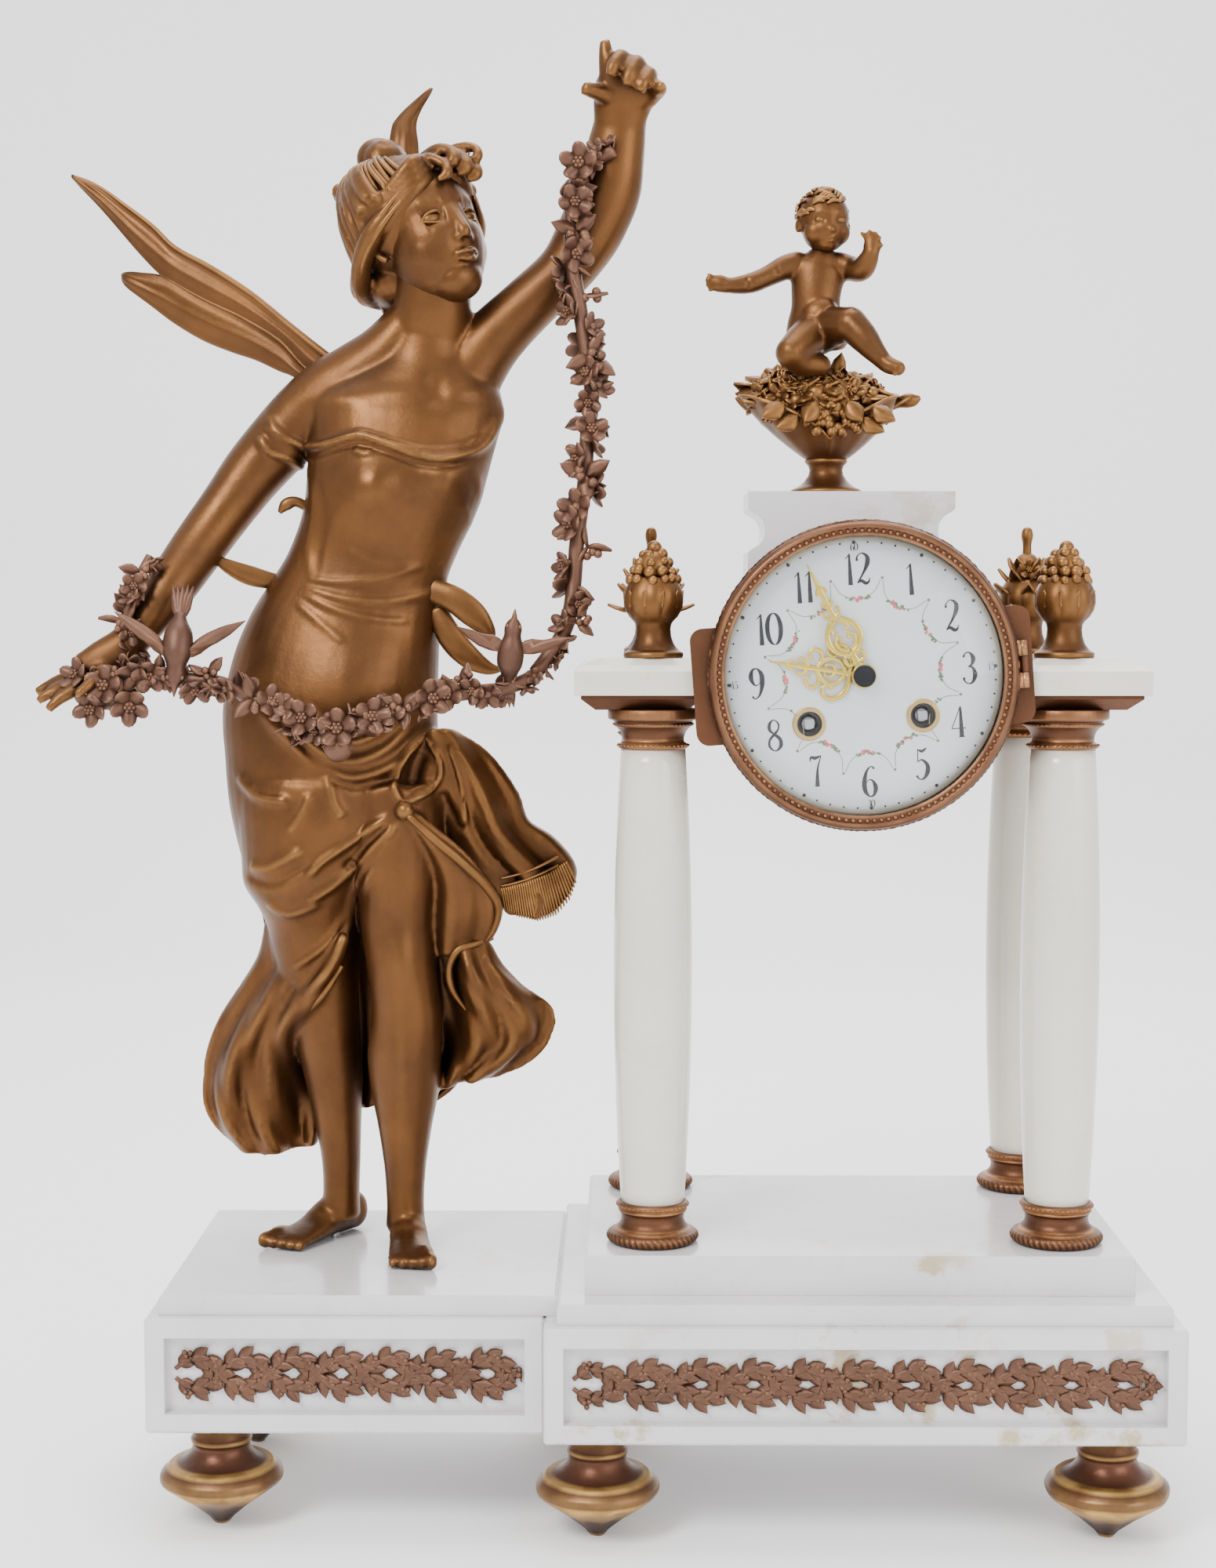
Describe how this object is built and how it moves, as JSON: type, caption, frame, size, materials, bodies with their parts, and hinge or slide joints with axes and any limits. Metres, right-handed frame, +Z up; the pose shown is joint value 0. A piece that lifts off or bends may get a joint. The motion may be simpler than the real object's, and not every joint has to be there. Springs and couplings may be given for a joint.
{
  "type": "figural mantel clock",
  "caption": "Mantel clock with a round enamel dial in a marble portico, beside a winged figure holding a flower garland on a stepped marble base with bronze mounts",
  "frame": {"origin": "middle of the footprint, level with the tips of the feet", "axes": "+Z up, +X to the viewer's right, -Y towards the viewer"},
  "size_m": [0.4673, 0.174, 0.6132],
  "materials": {
    "marble": "polished white marble with a faint lilac grey tint",
    "warm_marble": "polished white marble, slightly yellowed",
    "frieze_bronze": "chased bronze, worn on its high points",
    "dark_bronze": "dark brown patina, worn gold at the neck",
    "mount_bronze": "brown patina with worn gold edges",
    "bezel_bronze": "coppery brown patina",
    "figure_bronze": "golden brown patina, bright on high points",
    "garland_bronze": "dull mauve brown patina",
    "brass": "lacquered brass",
    "gilt": "bright gilding",
    "bell_metal": "smooth bell metal",
    "steel": "bright steel",
    "dark_steel": "blued steel",
    "enamel": "glossy fired enamel",
    "glass": "clear polished glass"
  },
  "bodies": {
    "clock": {"base_block_left": "marble", "base_block_right": "marble", "frieze_left": "frieze_bronze", "frieze_right": "frieze_bronze", "feet_front": "dark_bronze", "feet_rear": "dark_bronze", "foot_studs": "steel", "slab_left": "marble", "slab_right": "marble", "portico_plinth": "marble", "column_bases": "mount_bronze", "column_shaft_front_left": "warm_marble", "column_shaft_front_right": "warm_marble", "column_shaft_rear_left": "warm_marble", "column_shaft_rear_right": "warm_marble", "capitals": "mount_bronze", "abacus_left": "mount_bronze", "abacus_right": "mount_bronze", "entablature_left": "warm_marble", "entablature_right": "warm_marble", "finial_front_left": "mount_bronze", "finial_front_right": "mount_bronze", "finial_rear_left": "mount_bronze", "finial_rear_right": "mount_bronze", "tie_rods": "steel", "figure_bolts": "steel", "drum_ring": "mount_bronze", "drum_shell": "mount_bronze", "dial": "enamel", "winding_grommets": "brass", "movement_front_plate": "brass", "movement_back_plate": "brass", "spring_barrels": "brass", "case_straps": "steel", "bell": "bell_metal", "top_block": "marble", "urn": "figure_bronze", "urn_fruit": "figure_bronze", "maiden_body": "figure_bronze", "maiden_legs": "figure_bronze", "maiden_head": "figure_bronze", "arm_raised": "figure_bronze", "arm_lowered": "figure_bronze", "wings": "figure_bronze", "drapery": "figure_bronze", "garland_hanging": "garland_bronze", "garland_front": "garland_bronze", "birds": "garland_bronze", "putto": "figure_bronze"},
    "bezel": {"bezel": "bezel_bronze", "bezel_glass": "glass"},
    "back_door": {"back_door": "brass"},
    "minute": {"cannon_pinion": "dark_steel", "minute_hand": "gilt"},
    "hour": {"hour_wheel": "brass", "hour_hand": "gilt"},
    "minute_wheel": {"minute_wheel": "brass"},
    "winding_arbor_going": {"winding_arbor_going": "steel"},
    "winding_arbor_strike": {"winding_arbor_strike": "steel"},
    "strike_hammer": {"strike_hammer": "steel"}
  },
  "joints": [
    {"name": "bezel_hinge", "type": "hinge", "parent": "clock", "child": "bezel", "pos_m": [0.16862, -0.0682, 0.35121], "axis": [-0.075, 0, 0.9972], "range_deg": [0, 100]},
    {"name": "door_hinge", "type": "hinge", "parent": "clock", "child": "back_door", "pos_m": [0.04866, 0.0518, 0.34219], "axis": [-0.075, 0, 0.9972], "range_deg": [0, 90]},
    {"name": "minute_spin", "type": "hinge", "parent": "clock", "child": "minute", "pos_m": [0.106, -0.07, 0.3465], "axis": [0, 1, 0], "continuous": true},
    {"name": "hour_spin", "type": "hinge", "parent": "clock", "child": "hour", "pos_m": [0.106, -0.06, 0.3465], "axis": [0, 1, 0], "continuous": true},
    {"name": "minute_wheel_spin", "type": "hinge", "parent": "clock", "child": "minute_wheel", "pos_m": [0.1051, -0.059, 0.35847], "axis": [0, 1, 0], "continuous": true},
    {"name": "winding_strike", "type": "hinge", "parent": "clock", "child": "winding_arbor_strike", "pos_m": [0.08515, -0.04, 0.32768], "axis": [0, 1, 0], "continuous": true},
    {"name": "winding_going", "type": "hinge", "parent": "clock", "child": "winding_arbor_going", "pos_m": [0.12943, -0.04, 0.33101], "axis": [0, 1, 0], "continuous": true},
    {"name": "hammer_swing", "type": "hinge", "parent": "clock", "child": "strike_hammer", "pos_m": [0.14299, -0.01, 0.36131], "axis": [0, 1, 0], "range_deg": [0, 10]}
  ],
  "couplings": [
    {"joint": "hour_spin", "follows": "minute_spin", "ratio": 0.083333},
    {"joint": "minute_wheel_spin", "follows": "minute_spin", "ratio": -0.33333}
  ]
}
